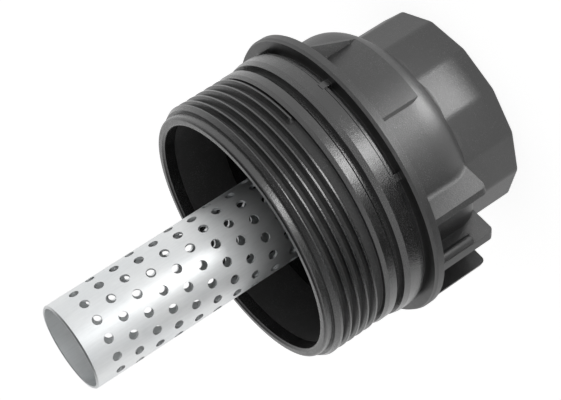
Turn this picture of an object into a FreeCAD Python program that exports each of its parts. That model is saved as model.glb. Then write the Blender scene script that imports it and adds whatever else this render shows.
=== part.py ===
import FreeCAD, Part

import math
import os

# Oil filter cap, standing on its wrench drive with the mouth and the filter tube pointing up.
# Millimetres. The origin is the centre of the drive's end face, and +Z runs up the axis.

# Driving sizes, from the drive end up to the free end of the tube
DRIVE_ACROSS_FLATS = 64.5
DRIVE_SIDES = 14
DRIVE_PHASE = -18.2
DRIVE_EDGE_ROUND = 0.7
DRIVE_CORNER_ROUND = 4.0
DRIVE_ROOT_STEP = 0.7
DRIVE_ROOT_FILLET = 3.0
DRIVE_LENGTH = 19.2
DOME_OVERHANG = 6.22
DOME_CORNER = 11.0
DOME_LENGTH = 22.1
FLANGE_REACH = 3.35
FLANGE_THICKNESS = 3.2
FLANGE_BEVEL = 1.0
FLANGE_BEVEL_DROP = 0.5
GAP_WIDTH = 1.5
GAP_DEPTH = 1.7
LEDGE_WIDTH = 0.9
LEDGE_DROP = 0.35
LINE_WIDTH = 0.3
LINE_DEPTH = 0.55
REAR_LAND_STEP = 2.45
REAR_LAND_LENGTH = 4.0
REAR_CHAMFER_LENGTH = 1.9
REAR_CHAMFER_DROP = 0.5
RING_GROOVE_WIDTH = 2.0
RING_GROOVE_DEPTH = 2.95
FRONT_LAND_STEP = 1.7
FRONT_LAND_LENGTH = 3.2
FRONT_CHAMFER_LENGTH = 1.3
FRONT_CHAMFER_DROP = 0.5
FRONT_REAR_ROUND = 0.6
THREAD_STEP = 1.4
THREAD_DEPTH = 1.6
THREAD_ZONE_LENGTH = 16.4
THREAD_PITCH = 3.15
THREAD_CREST_WIDTH = 0.5
THREAD_BASE_WIDTH = 2.3
THREAD_SINK = 0.03
THREAD_END_HEIGHT = 1.15
THREAD_END_ANGLE = -60.6
THREAD_TIP_WIDENING = 1.1
THREAD_BURIED_END = 0.7
START_RING_LENGTH = 0.3
START_CHAMFER_LENGTH = 1.4
START_CHAMFER_DROP = 0.9
LIP_DROP = 0.2
LIP_LENGTH = 2.8
LIP_ROUND = 0.9
MOUTH_WALL = 3.2

# Walls inside the cap
DOME_WALL = 3.2
DRIVE_WALL = 3.2
END_WALL = 5.0
STEP_BELOW_FLANGE = 1.5

# Perforated filter tube
TUBE_RADIUS = 13.9
TUBE_WALL = 0.9
TUBE_STAND_OUT = 60.1
TUBE_RIM_ROUND = 0.45
TUBE_HOLE_RADIUS = 1.5
TUBE_HOLES_IN_HALF = 7
TUBE_RING_SPACING = 6.86
TUBE_RINGS = 15
TUBE_FIRST_RING = 8.0
TUBE_HOLE_PHASE = -92.2

# Socket that carries the tube, and the valve chamber in its spigot
TUBE_FIT = 0.05
SPIGOT_FIT = 0.1
SOCKET_WALL = 3.0
SOCKET_FLOOR = 12.0
SOCKET_DEPTH = 16.0
SPIGOT_HEIGHT = 22.0

# Drain plug and its ring
PLUG_HEAD_RADIUS = 11.6
PLUG_HEAD_THICKNESS = 2.4
PLUG_HEAD_RECESS = 0.3
PLUG_HEAD_GAP = 0.4
PLUG_SHANK_RADIUS = 8.9
PLUG_SHANK_LENGTH = 7.6
PLUG_NOSE_RADIUS = 7.9
PLUG_NOSE_LENGTH = 3.6
PLUG_FIT = 0.05
PLUG_END_GAP = 0.5
PLUG_KEY = 9.6
PLUG_KEY_DEPTH = 8.0
SEAL_WIRE_RADIUS = 0.9
SEAL_FIT = 0.05

# Drain valve, its spring and its retainer
VALVE_PORT_RADIUS = 5.0
VALVE_SEAT_THICKNESS = 2.4
VALVE_DISC_RADIUS = 7.6
VALVE_DISC_THICKNESS = 2.0
VALVE_NUB_RADIUS = 3.0
VALVE_NUB_LENGTH = 1.6
VALVE_STEM_RADIUS = 2.0
VALVE_STEM_STAND_OUT = 1.0
CHAMBER_GAP = 0.9
SPRING_WIRE = 0.8
SPRING_RADIUS = 4.4
SPRING_TURNS = 4.5
SPRING_FIT = 0.05
RETAINER_RADIUS = 10.4
RETAINER_THICKNESS = 1.8
RETAINER_FIT = 0.05
RETAINER_WINDOWS = 4
RETAINER_WINDOW_RADIUS = 1.9
RETAINER_WINDOW_CIRCLE = 6.2

# Tabs that bridge the gap in front of the flange
TAB_COUNT = 8
TAB_PHASE = -57.0
TAB_WIDTH = 2.3
TAB_RISE = 0.2
TAB_LAP = 0.6
TAB_CLEAR_OF_FINS = 0.9

# Webs, recessed panels and fins on the dome, laid out either side of one plane of symmetry
SYMMETRY_ANGLE = -146.0
WEB_ANGLE = 109.0
WEB_THICKNESS = 1.4
WEB_REACH = 5.5
WEB_LENGTH = 14.5
WEB_TOP_STEP = 0.6
PANEL_SPAN = 44.5
PANEL_DEPTH = 1.0
PANEL_RAMP = 1.8
FIN_REACH = 6.8
FIN_SPACING = 17.5
FIN_SIDE_THICKNESS = 2.0
FIN_MID_THICKNESS = 3.4
FIN_LENGTH = 19.4
FIN_END_SLOPE = 0.03
FIN_CORNER = 1.8
FIN_ROOT_FILLET = 2.0
BEAD_LENGTH = 12.2
BEAD_RADIUS = 1.6
BEAD_INSET = 0.3
BEAD_END_ROUND = 0.5

# Heights that the sizes above give
DOME_BASE = DRIVE_LENGTH
FLANGE_REAR = DOME_BASE + DOME_LENGTH
FLANGE_FRONT = FLANGE_REAR + FLANGE_THICKNESS
GAP_TOP = FLANGE_FRONT + GAP_WIDTH
LEDGE_TOP = GAP_TOP + LEDGE_WIDTH
LINE_TOP = LEDGE_TOP + LINE_WIDTH
REAR_LAND_TOP = LINE_TOP + REAR_LAND_LENGTH
REAR_CHAMFER_TOP = REAR_LAND_TOP + REAR_CHAMFER_LENGTH
RING_GROOVE_TOP = REAR_CHAMFER_TOP + RING_GROOVE_WIDTH
FRONT_LAND_TOP = RING_GROOVE_TOP + FRONT_LAND_LENGTH
FRONT_CHAMFER_TOP = FRONT_LAND_TOP + FRONT_CHAMFER_LENGTH
START_RING_BASE = FRONT_CHAMFER_TOP + THREAD_ZONE_LENGTH
START_CHAMFER_BASE = START_RING_BASE + START_RING_LENGTH
LIP_BASE = START_CHAMFER_BASE + START_CHAMFER_LENGTH
MOUTH = LIP_BASE + LIP_LENGTH
TUBE_END = MOUTH + TUBE_STAND_OUT
DRIVE_CORNER_RADIUS = DRIVE_ACROSS_FLATS / 2 / math.cos(math.pi / DRIVE_SIDES)
DOME_FOOT_RADIUS = DRIVE_CORNER_RADIUS + DRIVE_ROOT_STEP
DOME_RADIUS = DOME_FOOT_RADIUS + DOME_OVERHANG
THREAD_ROOT_RADIUS = DOME_RADIUS + THREAD_STEP
THREAD_CREST_RADIUS = THREAD_ROOT_RADIUS + THREAD_DEPTH
LIP_RADIUS = THREAD_ROOT_RADIUS - LIP_DROP
MOUTH_RADIUS = THREAD_ROOT_RADIUS - MOUTH_WALL
FRONT_LAND_RADIUS = THREAD_ROOT_RADIUS + FRONT_LAND_STEP
REAR_LAND_RADIUS = THREAD_ROOT_RADIUS + REAR_LAND_STEP
RING_GROOVE_RADIUS = REAR_LAND_RADIUS - RING_GROOVE_DEPTH
FLANGE_RADIUS = REAR_LAND_RADIUS + FLANGE_REACH
FIN_RADIUS = DOME_RADIUS + FIN_REACH
DOME_CORNER_REACH = DOME_FOOT_RADIUS - (DOME_RADIUS - DOME_CORNER)
DOME_CORNER_TOP = DOME_BASE + math.sqrt(DOME_CORNER ** 2 - DOME_CORNER_REACH ** 2)
PLUG_SEAT = PLUG_HEAD_RECESS + PLUG_HEAD_THICKNESS
PLUG_SHANK_TOP = PLUG_SEAT + PLUG_SHANK_LENGTH
PLUG_TOP = PLUG_SHANK_TOP + PLUG_NOSE_LENGTH
PLUG_BORE_TOP = PLUG_TOP + PLUG_END_GAP
VALVE_SEAT = PLUG_BORE_TOP + VALVE_SEAT_THICKNESS
SPIGOT_RADIUS = TUBE_RADIUS - TUBE_WALL - SPIGOT_FIT
SPIGOT_TOP = SOCKET_FLOOR + SPIGOT_HEIGHT
SOCKET_TOP = SOCKET_FLOOR + SOCKET_DEPTH
CHAMBER_RADIUS = VALVE_DISC_RADIUS + CHAMBER_GAP
RETAINER_SEAT = SPIGOT_TOP - RETAINER_THICKNESS
VALVE_TOP = VALVE_SEAT + VALVE_DISC_THICKNESS

AXIS = FreeCAD.Vector(0, 0, 1)
ORIGIN = FreeCAD.Vector(0, 0, 0)

# How far joined shapes run into each other, and how far a cut runs past what it cuts
OVERLAP = 0.4
PAST = 1.0
ARC_STEPS = 8


def section_point(radius, height):
    return FreeCAD.Vector(radius, 0, height)


def polar(radius, angle, height):
    """A point at a radius and at an angle in degrees."""
    turn = math.radians(angle)
    return FreeCAD.Vector(radius * math.cos(turn), radius * math.sin(turn), height)


def turned(points):
    """A solid of revolution from the corners of a half section."""
    corners = [section_point(radius, height) for radius, height in points]
    wire = Part.makePolygon(corners + corners[:1])
    return Part.Face(wire).revolve(ORIGIN, AXIS, 360)


def ring(inner, outer, base, top):
    """A plain ring between two radii and two heights."""
    return turned([(inner, base), (outer, base), (outer, top), (inner, top)])


def disc(radius, base, top):
    return Part.makeCylinder(radius, top - base, FreeCAD.Vector(0, 0, base))


def spun(shape, angle):
    """A copy of the shape, turned about the axis."""
    copy = shape.copy()
    copy.rotate(ORIGIN, AXIS, angle)
    return copy


def arc_points(centre_radius, centre_height, radius, start, end):
    """Corners along an arc of a half section, angles in degrees from the radial direction."""
    points = []
    for step in range(ARC_STEPS + 1):
        angle = math.radians(start + (end - start) * step / ARC_STEPS)
        points.append((centre_radius + radius * math.cos(angle), centre_height + radius * math.sin(angle)))
    return points


def dome_solid(inset, foot_radius, top):
    """The dome as a solid: a straight wall above a rounded corner, inset from the outside by a wall."""
    wall = DOME_RADIUS - inset
    corner = DOME_CORNER - inset
    centre = wall - corner
    angle = math.acos((foot_radius - centre) / corner)
    start = section_point(wall, top)
    wall_end = section_point(wall, DOME_CORNER_TOP)
    half = angle / 2
    middle = section_point(centre + corner * math.cos(half), DOME_CORNER_TOP - corner * math.sin(half))
    arc_end = section_point(foot_radius, DOME_CORNER_TOP - corner * math.sin(angle))
    outline = [Part.makeLine(start, wall_end), Part.Arc(wall_end, middle, arc_end).toShape()]
    rest = [arc_end, section_point(0, arc_end.z), section_point(0, top), start]
    for first, second in zip(rest, rest[1:]):
        outline.append(Part.makeLine(first, second))
    return Part.Face(Part.Wire(outline)).revolve(ORIGIN, AXIS, 360)


def drive_prism():
    """The fourteen-sided drive, with soft end edges and a filleted foot on the dome."""
    corners = []
    for side in range(DRIVE_SIDES + 1):
        angle = math.radians(DRIVE_PHASE + 360.0 * side / DRIVE_SIDES)
        corners.append(FreeCAD.Vector(DRIVE_CORNER_RADIUS * math.cos(angle),
                                      DRIVE_CORNER_RADIUS * math.sin(angle), 0))
    prism = Part.Face(Part.makePolygon(corners)).extrude(FreeCAD.Vector(0, 0, DRIVE_LENGTH + OVERLAP))
    upright = [edge for edge in prism.Edges if edge.BoundBox.ZLength > DRIVE_LENGTH]
    prism = prism.makeFillet(DRIVE_CORNER_ROUND, upright)
    end_edges = [edge for edge in prism.Edges if edge.BoundBox.ZMax < OVERLAP / 2]
    return prism.makeFillet(DRIVE_EDGE_ROUND, end_edges)


def drive_root():
    """The hollow round between the dome's corner and the drive, which dies out at the drive's corners."""
    inner = DRIVE_ACROSS_FLATS / 2
    centre_radius = inner + DRIVE_ROOT_FILLET
    reach = centre_radius - (DOME_RADIUS - DOME_CORNER)
    span = DOME_CORNER + DRIVE_ROOT_FILLET
    centre_height = DOME_CORNER_TOP - math.sqrt(span ** 2 - reach ** 2)
    lean = math.degrees(math.acos(reach / span))
    hollow = arc_points(centre_radius, centre_height, DRIVE_ROOT_FILLET, 180 - lean, 180)
    touch_radius, touch_height = hollow[0]
    return turned([(inner - OVERLAP, touch_height + OVERLAP), (touch_radius, touch_height + OVERLAP)] + hollow
                  + [(inner - OVERLAP, centre_height)])


def outer_form():
    """Everything in front of the flange but the thread: the gap, the lands, the ring groove and the lip."""
    gap_root = REAR_LAND_RADIUS - GAP_DEPTH
    ledge = REAR_LAND_RADIUS - LEDGE_DROP
    line_root = REAR_LAND_RADIUS - LINE_DEPTH
    lip = arc_points(LIP_RADIUS - LIP_ROUND, MOUTH - LIP_ROUND, LIP_ROUND, 0, 90)
    points = [
        (0, FLANGE_FRONT - OVERLAP),
        (gap_root, FLANGE_FRONT - OVERLAP),
        (gap_root, GAP_TOP),
        (ledge, GAP_TOP),
        (ledge, LEDGE_TOP),
        (line_root, LEDGE_TOP),
        (line_root, LINE_TOP),
        (REAR_LAND_RADIUS, LINE_TOP),
        (REAR_LAND_RADIUS, REAR_LAND_TOP),
        (REAR_LAND_RADIUS - REAR_CHAMFER_DROP, REAR_CHAMFER_TOP),
        (RING_GROOVE_RADIUS, REAR_CHAMFER_TOP),
        (RING_GROOVE_RADIUS, RING_GROOVE_TOP),
        (FRONT_LAND_RADIUS - FRONT_REAR_ROUND, RING_GROOVE_TOP),
        (FRONT_LAND_RADIUS, RING_GROOVE_TOP + FRONT_REAR_ROUND),
        (FRONT_LAND_RADIUS, FRONT_LAND_TOP),
        (FRONT_LAND_RADIUS - FRONT_CHAMFER_DROP, FRONT_CHAMFER_TOP),
        (THREAD_ROOT_RADIUS, FRONT_CHAMFER_TOP),
        (THREAD_ROOT_RADIUS, LIP_BASE),
        (LIP_RADIUS, LIP_BASE),
    ] + lip + [(0, MOUTH)]
    return turned(points)


def thread_start():
    """The ring that closes the thread at the mouth, with a lead-in cone on the mouth's side."""
    middle_of_wall = (MOUTH_RADIUS + THREAD_ROOT_RADIUS) / 2
    return turned([
        (middle_of_wall, START_RING_BASE),
        (THREAD_CREST_RADIUS, START_RING_BASE),
        (THREAD_CREST_RADIUS, START_CHAMFER_BASE),
        (THREAD_CREST_RADIUS - START_CHAMFER_DROP, LIP_BASE),
        (middle_of_wall, LIP_BASE),
    ])


def housing_thread():
    """The single-start ridge, with a rounded run-out near the front land, and the ring that it runs into."""
    start_height = FRONT_CHAMFER_TOP + THREAD_END_HEIGHT
    rise = LIP_BASE - THREAD_BURIED_END - start_height
    base = THREAD_ROOT_RADIUS - OVERLAP
    crest = THREAD_CREST_RADIUS - THREAD_SINK
    half_base = THREAD_BASE_WIDTH / 2
    half_crest = THREAD_CREST_WIDTH / 2
    slope = (half_base - half_crest) / (THREAD_CREST_RADIUS - THREAD_ROOT_RADIUS)
    half_root = half_base + slope * OVERLAP
    half_tip = half_crest + slope * THREAD_SINK
    helix = Part.makeHelix(THREAD_PITCH, rise, THREAD_ROOT_RADIUS)
    profile = Part.makePolygon([
        section_point(base, -half_root),
        section_point(crest, -half_tip),
        section_point(crest, half_tip),
        section_point(base, half_root),
        section_point(base, -half_root),
    ])
    ridge = Part.Wire(helix.Edges).makePipeShell([profile], True, True)
    tip = Part.makeCone(half_root * THREAD_TIP_WIDENING, half_tip * THREAD_TIP_WIDENING, crest - base,
                        section_point(base, 0), section_point(1, 0))
    ridge = ridge.fuse(tip)
    ridge.translate(FreeCAD.Vector(0, 0, start_height))
    envelope = turned([
        (0, FRONT_CHAMFER_TOP - PAST),
        (THREAD_CREST_RADIUS, FRONT_CHAMFER_TOP - PAST),
        (THREAD_CREST_RADIUS, START_RING_BASE + START_RING_LENGTH / 2),
        (THREAD_ROOT_RADIUS, LIP_BASE - OVERLAP),
        (0, LIP_BASE - OVERLAP),
    ])
    return spun(thread_start().fuse(ridge.common(envelope)), THREAD_END_ANGLE)


def tabs():
    """Small square tabs across the gap in front of the flange, with none in line with the fins."""
    height = LINE_TOP + TAB_LAP - FLANGE_FRONT + OVERLAP
    start = REAR_LAND_RADIUS - GAP_DEPTH - OVERLAP
    depth = REAR_LAND_RADIUS + TAB_RISE - start
    block = Part.makeBox(depth, TAB_WIDTH, height,
                         FreeCAD.Vector(start, -TAB_WIDTH / 2, FLANGE_FRONT - OVERLAP))
    angles = [TAB_PHASE + 360.0 * number / TAB_COUNT for number in range(TAB_COUNT)]
    fins_direction = polar(1, SYMMETRY_ANGLE, 0)
    return [spun(block, angle) for angle in angles if polar(1, angle, 0).dot(fins_direction) < TAB_CLEAR_OF_FINS]


def webs():
    """Two thin triangular webs that brace the flange, mirrored about the plane of symmetry."""
    outer = DOME_RADIUS + WEB_REACH
    inner = DOME_RADIUS - PANEL_DEPTH - OVERLAP
    top = FLANGE_REAR + OVERLAP
    foot = FLANGE_REAR - WEB_LENGTH
    corners = [
        FreeCAD.Vector(inner, -WEB_THICKNESS / 2, top),
        FreeCAD.Vector(outer, -WEB_THICKNESS / 2, top),
        FreeCAD.Vector(outer, -WEB_THICKNESS / 2, FLANGE_REAR - WEB_TOP_STEP),
        FreeCAD.Vector(DOME_RADIUS, -WEB_THICKNESS / 2, foot),
        FreeCAD.Vector(inner, -WEB_THICKNESS / 2, foot),
    ]
    face = Part.Face(Part.makePolygon(corners + corners[:1]))
    web = face.extrude(FreeCAD.Vector(0, WEB_THICKNESS, 0))
    return [spun(web, SYMMETRY_ANGLE + sign * WEB_ANGLE) for sign in (1, -1)]


def recessed_panels():
    """Shallow curved pockets between each web and the fins. The edge near the fins is a short ramp."""
    floor = DOME_RADIUS - PANEL_DEPTH
    band = ring(floor, DOME_RADIUS + PAST, DOME_BASE, FLANGE_REAR)
    outer = FLANGE_RADIUS
    far = WEB_ANGLE
    near = WEB_ANGLE - PANEL_SPAN
    ramp_foot = polar(floor, near + PANEL_RAMP, DOME_BASE)
    ramp_head = polar(DOME_RADIUS, near, DOME_BASE)
    ramp_past = ramp_foot + (ramp_head - ramp_foot) * (1 + PAST / PANEL_DEPTH)
    outline = [
        FreeCAD.Vector(0, 0, DOME_BASE),
        ramp_foot,
        ramp_past,
        polar(outer, near + PANEL_RAMP, DOME_BASE),
        polar(outer * 2, (near + far) / 2, DOME_BASE),
        polar(outer, far, DOME_BASE),
    ]
    wedge = Part.Face(Part.makePolygon(outline + outline[:1])).extrude(AXIS * (FLANGE_REAR - DOME_BASE))
    pocket = band.common(wedge)
    other = pocket.mirror(ORIGIN, FreeCAD.Vector(0, 1, 0))
    return [spun(pocket, SYMMETRY_ANGLE), spun(other, SYMMETRY_ANGLE)]


def fin_envelope(inner_radius, length):
    """Ring-shaped space that the fins fill, with their sloped end and rounded outer corner."""
    end = FLANGE_REAR - length
    corner = arc_points(FIN_RADIUS - FIN_CORNER, end + FIN_CORNER, FIN_CORNER, 0, -90)
    inner_end = end - (FIN_RADIUS - FIN_CORNER - inner_radius) * FIN_END_SLOPE
    points = [(inner_radius, FLANGE_REAR + OVERLAP), (FIN_RADIUS, FLANGE_REAR + OVERLAP)]
    return turned(points + corner + [(inner_radius, inner_end)])


def plate(offset, thickness):
    """A flat plate parallel to the plane of symmetry, offset from it."""
    slab = Part.makeBox(FLANGE_RADIUS + 5, thickness, FLANGE_REAR + 5,
                        FreeCAD.Vector(0, offset - thickness / 2, 0))
    return spun(slab, SYMMETRY_ANGLE)


def fins():
    """Three flat fins on the dome, parallel to each other."""
    space = fin_envelope(DOME_RADIUS - DOME_CORNER / 2, FIN_LENGTH)
    sizes = [(FIN_SPACING, FIN_SIDE_THICKNESS), (0, FIN_MID_THICKNESS), (-FIN_SPACING, FIN_SIDE_THICKNESS)]
    return [plate(offset, thickness).common(space) for offset, thickness in sizes]


def fin_bead():
    """The round bead along the outer edge of the middle fin."""
    base = FLANGE_REAR - BEAD_LENGTH
    bead = Part.makeCylinder(BEAD_RADIUS, BEAD_LENGTH + OVERLAP,
                             FreeCAD.Vector(FIN_RADIUS - BEAD_INSET - BEAD_RADIUS, FIN_MID_THICKNESS / 2, base))
    ends = [edge for edge in bead.Edges if edge.BoundBox.ZMax < base + OVERLAP]
    return spun(bead.makeFillet(BEAD_END_ROUND, ends), SYMMETRY_ANGLE)


def is_fin_root(edge):
    """True for an edge where the outer side of a side fin meets the dome."""
    middle = edge.valueAt((edge.FirstParameter + edge.LastParameter) / 2)
    forward = middle.dot(polar(1, SYMMETRY_ANGLE, 0))
    sideways = abs(middle.dot(polar(1, SYMMETRY_ANGLE + 90, 0)))
    on_outer_side = FIN_SPACING < sideways < FIN_SPACING + FIN_SIDE_THICKNESS
    radius = math.hypot(middle.x, middle.y)
    on_wall = abs(radius - DOME_RADIUS) < OVERLAP / 4
    on_corner = DOME_FOOT_RADIUS + OVERLAP < radius < DOME_RADIUS and middle.z < DOME_CORNER_TOP - OVERLAP
    below_flange = middle.z < FLANGE_REAR - OVERLAP
    return forward > 0 and on_outer_side and below_flange and (on_wall or on_corner) and not edge.Closed


def dome_and_fins():
    """The dome with its fins, joined by hollow rounds, and the flange's plate above them."""
    dome = dome_solid(0, DOME_FOOT_RADIUS, FLANGE_REAR + OVERLAP)
    bevelled = turned([
        (0, FLANGE_REAR),
        (FLANGE_RADIUS, FLANGE_REAR),
        (FLANGE_RADIUS, FLANGE_FRONT - FLANGE_BEVEL),
        (FLANGE_RADIUS - FLANGE_BEVEL_DROP, FLANGE_FRONT),
        (0, FLANGE_FRONT),
    ])
    joined = dome.fuse([bevelled] + fins()).removeSplitter()
    return joined.makeFillet(FIN_ROOT_FILLET, [edge for edge in joined.Edges if is_fin_root(edge)])


def inner_hollow():
    """The space inside the cap: the wide mouth, the dome's inside and the drive's inside."""
    drive_inside = DRIVE_ACROSS_FLATS / 2 - DRIVE_WALL
    wide_floor = FLANGE_REAR - STEP_BELOW_FLANGE
    round_off = arc_points(MOUTH_RADIUS + LIP_ROUND, MOUTH - LIP_ROUND, LIP_ROUND, 180, 90)
    mouth = turned([(0, wide_floor), (MOUTH_RADIUS, wide_floor)] + round_off + [(0, MOUTH)])
    dome = dome_solid(DOME_WALL, drive_inside, wide_floor + OVERLAP)
    drive = disc(drive_inside, END_WALL, DOME_CORNER_TOP)
    return mouth.fuse([dome, drive])


def tube_socket():
    """The socket and spigot on the end wall that hold the tube."""
    outer = TUBE_RADIUS + TUBE_FIT + SOCKET_WALL
    socket = disc(outer, END_WALL - OVERLAP, SOCKET_TOP)
    slot = ring(SPIGOT_RADIUS, TUBE_RADIUS + TUBE_FIT, SOCKET_FLOOR, SOCKET_TOP + PAST)
    spigot = disc(SPIGOT_RADIUS, SOCKET_FLOOR - OVERLAP, SPIGOT_TOP)
    return socket.cut(slot).fuse(spigot)


def drain_bores():
    """The stepped bore along the axis: plug head, plug thread, valve port, chamber and retainer seat."""
    return [
        disc(PLUG_HEAD_RADIUS + PLUG_HEAD_GAP, -PAST, PLUG_SEAT),
        disc(PLUG_SHANK_RADIUS + PLUG_FIT, -PAST, PLUG_SHANK_TOP + PLUG_END_GAP),
        disc(PLUG_NOSE_RADIUS + PLUG_FIT, -PAST, PLUG_BORE_TOP),
        disc(VALVE_PORT_RADIUS, -PAST, VALVE_SEAT + PAST),
        disc(CHAMBER_RADIUS, VALVE_SEAT, SPIGOT_TOP + PAST),
        disc(RETAINER_RADIUS + RETAINER_FIT, RETAINER_SEAT, SPIGOT_TOP + PAST),
    ]


def cap_body():
    """The one moulded piece: drive, dome, flange, lands, thread, lip, and the tube's socket inside."""
    body = dome_and_fins().cut(recessed_panels())
    body = body.fuse([drive_prism(), drive_root(), outer_form()] + webs() + [fin_bead()] + tabs())
    body = body.fuse(housing_thread())
    body = body.cut(inner_hollow())
    body = body.fuse(tube_socket())
    return body.cut(drain_bores())


def perforated_tube():
    """One rolled steel tube with staggered rings of holes, out of step between its front and its back half."""
    inner = TUBE_RADIUS - TUBE_WALL
    tube = turned([
        (inner, SOCKET_FLOOR),
        (TUBE_RADIUS, SOCKET_FLOOR),
        (TUBE_RADIUS, TUBE_END - TUBE_RIM_ROUND),
        (TUBE_RADIUS - TUBE_RIM_ROUND, TUBE_END),
        (inner + TUBE_RIM_ROUND / 2, TUBE_END),
        (inner, TUBE_END - TUBE_RIM_ROUND / 2),
    ])
    punch = Part.makeCylinder(TUBE_HOLE_RADIUS, TUBE_WALL + 2 * PAST,
                              FreeCAD.Vector(inner - PAST, 0, 0), FreeCAD.Vector(1, 0, 0))
    pitch_angle = 180.0 / TUBE_HOLES_IN_HALF
    punches = []
    for number in range(TUBE_RINGS):
        height = TUBE_END - TUBE_FIRST_RING - TUBE_RING_SPACING * number
        for half in range(2):
            holes = TUBE_HOLES_IN_HALF - (number + 1 + half) % 2
            start = TUBE_HOLE_PHASE + 180.0 * half - pitch_angle * (holes - 1) / 2
            for hole in range(holes):
                tool = spun(punch, start + pitch_angle * hole)
                tool.translate(FreeCAD.Vector(0, 0, height))
                punches.append(tool)
    return tube.cut(Part.makeCompound(punches))


def drain_plug():
    """The screwed drain plug: a flat head with a square key socket, a shank and a grooved nose."""
    plug = disc(PLUG_HEAD_RADIUS, PLUG_HEAD_RECESS, PLUG_SEAT)
    shank = disc(PLUG_SHANK_RADIUS, PLUG_HEAD_RECESS, PLUG_SHANK_TOP)
    nose = disc(PLUG_NOSE_RADIUS, PLUG_HEAD_RECESS, PLUG_TOP)
    middle = (PLUG_SHANK_TOP + PLUG_TOP) / 2
    groove_floor = PLUG_NOSE_RADIUS + PLUG_FIT - SEAL_FIT - 2 * SEAL_WIRE_RADIUS
    groove = ring(groove_floor - SEAL_FIT, PLUG_NOSE_RADIUS + PAST,
                  middle - SEAL_WIRE_RADIUS - SEAL_FIT, middle + SEAL_WIRE_RADIUS + SEAL_FIT)
    key = Part.makeBox(PLUG_KEY, PLUG_KEY, PLUG_KEY_DEPTH + PAST,
                       FreeCAD.Vector(-PLUG_KEY / 2, -PLUG_KEY / 2, PLUG_HEAD_RECESS - PAST))
    return plug.fuse([shank, nose]).cut([groove, key])


def drain_plug_seal():
    """The rubber ring in the plug's groove."""
    middle = (PLUG_SHANK_TOP + PLUG_TOP) / 2
    radius = PLUG_NOSE_RADIUS + PLUG_FIT - SEAL_FIT - SEAL_WIRE_RADIUS
    return Part.makeTorus(radius, SEAL_WIRE_RADIUS, FreeCAD.Vector(0, 0, middle))


def drain_valve():
    """The valve that a drain pipe lifts: a nub, a disc on the seat and a stem through the retainer."""
    nub = disc(VALVE_NUB_RADIUS, VALVE_SEAT - VALVE_NUB_LENGTH, VALVE_TOP)
    head = disc(VALVE_DISC_RADIUS, VALVE_SEAT, VALVE_TOP)
    stem = disc(VALVE_STEM_RADIUS, VALVE_SEAT, SPIGOT_TOP + VALVE_STEM_STAND_OUT)
    return head.fuse([nub, stem])


def valve_spring():
    """The coil spring between the valve's disc and the retainer."""
    base = VALVE_TOP + SPRING_WIRE / 2 + SPRING_FIT
    top = RETAINER_SEAT - SPRING_WIRE / 2 - SPRING_FIT
    height = top - base
    helix = Part.makeHelix(height / SPRING_TURNS, height, SPRING_RADIUS)
    circle = Part.Circle(FreeCAD.Vector(SPRING_RADIUS, 0, 0), FreeCAD.Vector(0, 1, 0), SPRING_WIRE / 2)
    profile = Part.Wire([circle.toShape()])
    spring = Part.Wire(helix.Edges).makePipeShell([profile], True, True)
    spring.translate(FreeCAD.Vector(0, 0, base))
    return spring


def valve_retainer():
    """The disc that holds the spring down and guides the valve's stem, with windows for the oil."""
    plate_disc = disc(RETAINER_RADIUS, RETAINER_SEAT, SPIGOT_TOP)
    cuts = [disc(VALVE_STEM_RADIUS + RETAINER_FIT, RETAINER_SEAT - PAST, SPIGOT_TOP + PAST)]
    for number in range(RETAINER_WINDOWS):
        window = disc(RETAINER_WINDOW_RADIUS, RETAINER_SEAT - PAST, SPIGOT_TOP + PAST)
        window.translate(FreeCAD.Vector(RETAINER_WINDOW_CIRCLE, 0, 0))
        cuts.append(spun(window, 360.0 * number / RETAINER_WINDOWS))
    return plate_disc.cut(cuts)


PIECES = {
    "cap_body": cap_body,
    "perforated_tube": perforated_tube,
    "drain_plug": drain_plug,
    "drain_plug_seal": drain_plug_seal,
    "drain_valve": drain_valve,
    "valve_spring": valve_spring,
    "valve_retainer": valve_retainer,
}

os.makedirs("parts", exist_ok=True)
for name, make in PIECES.items():
    shape = make()
    if shape.ShapeType == "Compound" and len(shape.Solids) == 1:
        shape = shape.Solids[0]
    shape.exportStep("parts/" + name + ".step")
    print(name, shape.ShapeType, "solids", len(shape.Solids), "valid", shape.isValid(),
          "volume", round(shape.Volume / 1000, 2), "cm3")
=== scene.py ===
import math

import bpy
from mathutils import Euler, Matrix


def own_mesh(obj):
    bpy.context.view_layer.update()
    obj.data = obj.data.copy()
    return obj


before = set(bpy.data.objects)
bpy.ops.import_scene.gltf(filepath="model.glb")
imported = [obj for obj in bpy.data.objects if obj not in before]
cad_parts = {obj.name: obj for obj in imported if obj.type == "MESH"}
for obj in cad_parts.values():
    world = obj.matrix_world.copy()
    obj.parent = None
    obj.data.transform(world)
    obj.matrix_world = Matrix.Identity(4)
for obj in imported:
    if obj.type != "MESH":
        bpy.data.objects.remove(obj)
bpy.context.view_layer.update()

# All sizes are in metres, apart from the sensor's width in millimetres, and all angles are in degrees

# Camera, from a pinhole camera fitted to the photograph
CAMERA_PLACE = (0.00313, -0.51278, 0.24757)
CAMERA_TILT = 70.188
CAMERA_TURN = -122.657
SENSOR_WIDTH = 36.0
PHOTO_WIDTH = 561
FOCAL_PIXELS = 1826.36

# Floor, with the share of its white that is its own glow, for camera, mirror and glass rays
FLOOR_HALF_WIDTH = 4.0
FLOOR_PAINT = 0.6
FLOOR_GLOW = 0.82

# Level of the surroundings at the horizon and at the zenith, and the heights between which it changes
HORIZON_LEVEL = 1.0
ZENITH_LEVEL = 0.12
HORIZON_END = 0.3
ZENITH_START = 0.75

# How far the moulding's edges look rounded
EDGE_ROUND = 0.00012

# Height of the flange's front, and half of the band over which the finish changes
FLANGE_HEIGHT = 0.0445
BLEND = 0.0005

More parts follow.
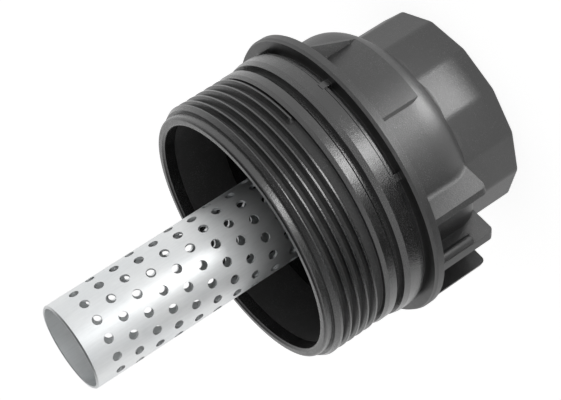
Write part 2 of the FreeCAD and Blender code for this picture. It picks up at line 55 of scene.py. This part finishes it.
# The moulding's finish in front of the flange and behind it, as lowest and highest roughness
NYLON_IOR = 1.53
SATIN_ROUGHNESS = (0.18, 0.30)
DULL_ROUGHNESS = (0.42, 0.54)

# The moulding's black, and the pale glass fibres that show as specks in it
NYLON_DARK = 0.007
NYLON_LIGHT = 0.012
SPECK_LEVEL = 0.12

# Relief of the moulding's skin, as noise scale, strength and depth
WAVE = (260.0, 0.35, 0.0002)
GRAIN = (2600.0, 1.0, 0.00006)

# The zinc's colours, its faint brush lines and its lowest and highest roughness
ZINC_DARK = (0.72, 0.74, 0.75, 1.0)
ZINC_LIGHT = (0.84, 0.85, 0.85, 1.0)
LINE_LEVEL = 0.94
LINE_STRETCH = 0.12
LINE_SCALE = 1400.0
ZINC_ROUGHNESS = (0.38, 0.50)

# The thread's valleys, which are duller than its crests
THREAD_START_HEIGHT = 0.0600
THREAD_END_HEIGHT = 0.0758
VALLEY_RADIUS = 0.0416
CREST_RADIUS = 0.0424
VALLEY_ROUGHNESS = 0.85


# Node helpers for the materials

def new_material(name):
    """An empty node material with its shader and its output."""
    material = bpy.data.materials.new(name)
    material.use_nodes = True
    tree = material.node_tree
    tree.nodes.clear()
    output = tree.nodes.new("ShaderNodeOutputMaterial")
    shader = tree.nodes.new("ShaderNodeBsdfPrincipled")
    tree.links.new(shader.outputs["BSDF"], output.inputs["Surface"])
    return material, tree, shader


def add_node(tree, kind, **values):
    """A node with its own settings, and with numbers on its sockets where the name is a socket's."""
    node = tree.nodes.new(kind)
    for key, value in values.items():
        if key in node.inputs:
            node.inputs[key].default_value = value
        else:
            setattr(node, key, value)
    return node


def place_of(tree, scale=(1.0, 1.0, 1.0)):
    """Object coordinates, stretched by a scale."""
    coordinates = tree.nodes.new("ShaderNodeTexCoord")
    mapping = add_node(tree, "ShaderNodeMapping", Scale=scale)
    tree.links.new(coordinates.outputs["Object"], mapping.inputs["Vector"])
    return mapping.outputs["Vector"]


def noise(tree, vector, scale, detail=3.0, roughness=0.5):
    """Soft noise around a half."""
    node = add_node(tree, "ShaderNodeTexNoise", Scale=scale, Detail=detail, Roughness=roughness)
    tree.links.new(vector, node.inputs["Vector"])
    return node.outputs["Fac"]


def ramp(tree, value, stops):
    """A colour ramp of (place, colour) stops."""
    node = tree.nodes.new("ShaderNodeValToRGB")
    elements = node.color_ramp.elements
    while len(elements) < len(stops):
        elements.new(0.5)
    for element, (place, colour) in zip(elements, stops):
        element.position = place
        element.color = colour
    tree.links.new(value, node.inputs["Fac"])
    return node.outputs["Color"]


def spread(tree, value, low, high):
    """The value from 0 to 1 spread between two numbers."""
    node = add_node(tree, "ShaderNodeMapRange")
    node.inputs["To Min"].default_value = low
    node.inputs["To Max"].default_value = high
    tree.links.new(value, node.inputs["Value"])
    return node.outputs["Result"]


def ramp_between(tree, value, start, end):
    """0 at one value and 1 at the other, straight between them."""
    node = add_node(tree, "ShaderNodeMapRange")
    node.inputs["From Min"].default_value = start
    node.inputs["From Max"].default_value = end
    tree.links.new(value, node.inputs["Value"])
    return node.outputs["Result"]


def times(tree, first, second):
    """One value times another."""
    node = add_node(tree, "ShaderNodeMath", operation="MULTIPLY")
    tree.links.new(first, node.inputs[0])
    tree.links.new(second, node.inputs[1])
    return node.outputs["Value"]


def blend(tree, share, first, second):
    """A mix of two colours or values, each a socket or a plain colour, by a share from 0 to 1."""
    node = add_node(tree, "ShaderNodeMix", data_type="RGBA")
    tree.links.new(share, node.inputs["Factor"])
    for socket, part in ((node.inputs[6], first), (node.inputs[7], second)):
        if isinstance(part, tuple):
            socket.default_value = part
        else:
            tree.links.new(part, socket)
    return node.outputs[2]


def bump(tree, height, strength, distance, normal=None):
    """A normal with relief, on top of another normal if one is given."""
    node = add_node(tree, "ShaderNodeBump", Strength=strength, Distance=distance)
    tree.links.new(height, node.inputs["Height"])
    if normal is not None:
        tree.links.new(normal, node.inputs["Normal"])
    return node.outputs["Normal"]


def grey(level, tint=(1.0, 1.0, 1.0)):
    """A grey colour with a slight tint."""
    return tuple(level * part for part in tint) + (1.0,)


def thread_valley(tree, place, height):
    """1 in the valleys between the thread's crests and 0 elsewhere."""
    outward = add_node(tree, "ShaderNodeVectorMath", operation="MULTIPLY")
    outward.inputs[1].default_value = (1.0, 1.0, 0.0)
    tree.links.new(place, outward.inputs[0])
    radius = add_node(tree, "ShaderNodeVectorMath", operation="LENGTH")
    tree.links.new(outward.outputs["Vector"], radius.inputs[0])
    deep = ramp_between(tree, radius.outputs["Value"], CREST_RADIUS, VALLEY_RADIUS)
    after = ramp_between(tree, height, THREAD_START_HEIGHT - BLEND, THREAD_START_HEIGHT)
    before = ramp_between(tree, height, THREAD_END_HEIGHT + BLEND, THREAD_END_HEIGHT)
    return times(tree, deep, times(tree, after, before))


def nylon_material():
    """Black nylon, finely speckled: satin in front of the flange, duller behind it and in the thread."""
    material, tree, shader = new_material("cap_nylon")
    place = place_of(tree)
    height = add_node(tree, "ShaderNodeSeparateXYZ")
    tree.links.new(place, height.inputs["Vector"])
    behind = ramp_between(tree, height.outputs["Z"], FLANGE_HEIGHT + BLEND, FLANGE_HEIGHT - BLEND)
    valley = thread_valley(tree, place, height.outputs["Z"])
    cloud = noise(tree, place, 45.0, 4.0)
    patch = ramp(tree, noise(tree, place, 90.0, 6.0, 0.7), [(0.40, grey(0.0)), (0.62, grey(1.0))])
    speck = ramp(tree, noise(tree, place, 3800.0, 2.0, 0.7), [(0.56, grey(0.0)), (0.70, grey(1.0))])
    speckle = times(tree, patch, speck)
    lighter = grey(NYLON_LIGHT, (1.0, 1.0, 1.02))
    colour = ramp(tree, cloud, [(0.3, grey(NYLON_DARK)), (0.75, lighter)])
    tree.links.new(blend(tree, speckle, colour, grey(SPECK_LEVEL)), shader.inputs["Base Color"])
    satin = spread(tree, cloud, *SATIN_ROUGHNESS)
    dull = spread(tree, cloud, *DULL_ROUGHNESS)
    dulled = blend(tree, valley, blend(tree, behind, satin, dull), grey(VALLEY_ROUGHNESS))
    tree.links.new(dulled, shader.inputs["Roughness"])
    shader.inputs["IOR"].default_value = NYLON_IOR
    shader.inputs["Specular IOR Level"].default_value = 1.0
    soft = add_node(tree, "ShaderNodeBevel", samples=6, Radius=EDGE_ROUND)
    relief = soft.outputs["Normal"]
    for (scale, strength, depth), detail in ((WAVE, 3.0), (GRAIN, 2.0)):
        relief = bump(tree, noise(tree, place, scale, detail), strength, depth, relief)
    tree.links.new(relief, shader.inputs["Normal"])
    return material


def zinc_material():
    """Zinc-plated steel: light bluish grey, satin, with soft clouds and faint lines along the tube."""
    material, tree, shader = new_material("zinc_plate")
    place = place_of(tree)
    along = place_of(tree, (1.0, 1.0, LINE_STRETCH))
    cloud = noise(tree, place, 60.0, 4.0)
    streak = noise(tree, along, LINE_SCALE, 4.0, 0.7)
    colour = ramp(tree, cloud, [(0.3, ZINC_DARK), (0.75, ZINC_LIGHT)])
    lines = ramp(tree, streak, [(0.35, grey(LINE_LEVEL)), (0.65, grey(1.0))])
    tinted = add_node(tree, "ShaderNodeMix", data_type="RGBA", blend_type="MULTIPLY")
    tinted.inputs["Factor"].default_value = 1.0
    tree.links.new(colour, tinted.inputs[6])
    tree.links.new(lines, tinted.inputs[7])
    tree.links.new(tinted.outputs[2], shader.inputs["Base Color"])
    shader.inputs["Metallic"].default_value = 1.0
    tree.links.new(spread(tree, cloud, *ZINC_ROUGHNESS), shader.inputs["Roughness"])
    tree.links.new(bump(tree, streak, 0.18, 0.00003), shader.inputs["Normal"])
    return material


def plain_material(name, colour, roughness, metallic, grain_scale):
    """A simple grained material for the pieces inside."""
    material, tree, shader = new_material(name)
    place = place_of(tree)
    cloud = noise(tree, place, 80.0, 3.0)
    grain = noise(tree, place, grain_scale, 2.0)
    lighter = colour + (1.0,)
    darker = tuple(part * 0.85 for part in colour) + (1.0,)
    tree.links.new(ramp(tree, cloud, [(0.3, darker), (0.7, lighter)]), shader.inputs["Base Color"])
    shader.inputs["Metallic"].default_value = metallic
    tree.links.new(spread(tree, cloud, roughness - 0.05, roughness + 0.05), shader.inputs["Roughness"])
    tree.links.new(bump(tree, grain, 0.3, 0.00002), shader.inputs["Normal"])
    return material


def stage_material():
    """A pale floor that cameras, mirrors and glass see as white, and that still takes the shadow."""
    material = bpy.data.materials.new("stage_white")
    material.use_nodes = True
    tree = material.node_tree
    tree.nodes.clear()
    output = tree.nodes.new("ShaderNodeOutputMaterial")
    paint = add_node(tree, "ShaderNodeBsdfDiffuse", Color=grey(FLOOR_PAINT))
    glow = add_node(tree, "ShaderNodeEmission", Color=grey(1.0))
    both = tree.nodes.new("ShaderNodeAddShader")
    path = tree.nodes.new("ShaderNodeLightPath")
    seen = path.outputs["Is Camera Ray"]
    for name in ("Is Glossy Ray", "Is Transmission Ray"):
        either = add_node(tree, "ShaderNodeMath", operation="MAXIMUM")
        tree.links.new(seen, either.inputs[0])
        tree.links.new(path.outputs[name], either.inputs[1])
        seen = either.outputs["Value"]
    level = add_node(tree, "ShaderNodeMath", operation="MULTIPLY")
    level.inputs[1].default_value = FLOOR_GLOW
    tree.links.new(seen, level.inputs[0])
    tree.links.new(level.outputs["Value"], glow.inputs["Strength"])
    tree.links.new(paint.outputs["BSDF"], both.inputs[0])
    tree.links.new(glow.outputs["Emission"], both.inputs[1])
    tree.links.new(both.outputs["Shader"], output.inputs["Surface"])
    return material


def dress(node, material):
    """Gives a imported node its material, and smooth faces."""
    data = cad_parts[node].data
    data.materials.clear()
    data.materials.append(material)
    for polygon in data.polygons:
        polygon.use_smooth = True


def dress_all():
    """Gives every piece its material: node, name, colour, roughness, metal share and grain scale inside."""
    nylon = nylon_material()
    zinc = zinc_material()
    dress("cap_body", nylon)
    dress("perforated_tube", zinc)
    inside = (
        ("drain_plug", "turned_aluminium", (0.78, 0.78, 0.79), 0.3, 1.0, 1500.0),
        ("drain_plug_seal", "seal_rubber", (0.03, 0.03, 0.03), 0.6, 0.0, 3000.0),
        ("drain_valve", "valve_nylon", (0.16, 0.16, 0.155), 0.5, 0.0, 2500.0),
        ("valve_retainer", "retainer_nylon", (0.13, 0.13, 0.13), 0.5, 0.0, 2500.0),
        ("valve_spring", "spring_wire", (0.6, 0.6, 0.6), 0.3, 1.0, 2000.0),
    )
    for node, name, colour, roughness, metallic, grain_scale in inside:
        dress(node, plain_material(name, colour, roughness, metallic, grain_scale))


def shorten_spring():
    """Gives the valve's spring a mesh of its own, left as it was imported."""
    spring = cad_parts["valve_spring"]
    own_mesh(spring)


def flat_mesh(name, half_x, half_y):
    """A flat rectangle around its own middle."""
    corners = [(-half_x, -half_y, 0), (half_x, -half_y, 0), (half_x, half_y, 0), (-half_x, half_y, 0)]
    mesh = bpy.data.meshes.new(name)
    mesh.from_pydata(corners, [], [(0, 1, 2, 3)])
    return mesh


def add_floor():
    """A wide pale floor under the cap."""
    mesh = flat_mesh("floor", FLOOR_HALF_WIDTH, FLOOR_HALF_WIDTH)
    floor = bpy.data.objects.new("floor", mesh)
    bpy.context.scene.collection.objects.link(floor)
    mesh.materials.append(stage_material())


def add_camera():
    """The camera at the photograph's viewing angle."""
    data = bpy.data.cameras.new("camera")
    data.sensor_width = SENSOR_WIDTH
    data.lens = SENSOR_WIDTH * FOCAL_PIXELS / PHOTO_WIDTH
    camera = bpy.data.objects.new("camera", data)
    camera.location = CAMERA_PLACE
    tilt = Euler((math.radians(CAMERA_TILT), 0, 0)).to_matrix()
    turn = Euler((0, 0, math.radians(CAMERA_TURN))).to_matrix()
    camera.rotation_euler = (tilt @ turn).to_euler()
    bpy.context.scene.collection.objects.link(camera)
    bpy.context.scene.camera = camera


def add_strip(name, place, size, radiance):
    """A soft box that lies face up just above the floor, and that the camera doesn't see."""
    data = bpy.data.lights.new(name, "AREA")
    data.shape = "RECTANGLE"
    data.size, data.size_y = size
    data.energy = radiance * math.pi * size[0] * size[1]
    light = bpy.data.objects.new(name, data)
    light.location = place
    light.rotation_euler = (math.pi, 0, 0)
    light.visible_camera = False
    bpy.context.scene.collection.objects.link(light)


def add_card(name, place, size, turn, level):
    """A flat card just above the floor that only the object's gloss sees."""
    mesh = flat_mesh(name, size[0] / 2, size[1] / 2)
    material, tree, shader = new_material(name)
    shader.inputs["Base Color"].default_value = grey(level)
    shader.inputs["Roughness"].default_value = 1.0
    mesh.materials.append(material)
    card = bpy.data.objects.new(name, mesh)
    card.location = place
    card.rotation_euler = (0, 0, math.radians(turn))
    card.visible_camera = False
    card.visible_shadow = False
    card.visible_diffuse = False
    bpy.context.scene.collection.objects.link(card)


def add_world():
    """White surroundings that darken towards the zenith, so that the mouth is dark inside."""
    world = bpy.data.worlds.new("studio")
    world.use_nodes = True
    tree = world.node_tree
    coordinates = tree.nodes.new("ShaderNodeTexCoord")
    split = tree.nodes.new("ShaderNodeSeparateXYZ")
    tree.links.new(coordinates.outputs["Generated"], split.inputs["Vector"])
    stops = [(HORIZON_END, grey(HORIZON_LEVEL)), (ZENITH_START, grey(ZENITH_LEVEL))]
    colour = ramp(tree, split.outputs["Z"], stops)
    tree.links.new(colour, tree.nodes["Background"].inputs["Color"])
    tree.nodes["Background"].inputs["Strength"].default_value = 1.0
    bpy.context.scene.world = world


dress_all()
shorten_spring()
add_floor()
add_camera()
add_world()
add_strip("front_far", (0.008, -0.208, 0.004), (0.085, 0.115), 6.5)
add_strip("front_near", (0.008, -0.093, 0.004), (0.020, 0.105), 6.0)
add_card("dark_card", (-0.140, -0.112, 0.002), (0.16, 0.17), 39.0, 0.005)
add_card("grey_card", (-0.323, -0.069, 0.002), (0.20, 0.22), 12.0, 0.2)

bpy.context.scene.view_settings.view_transform = "Standard"
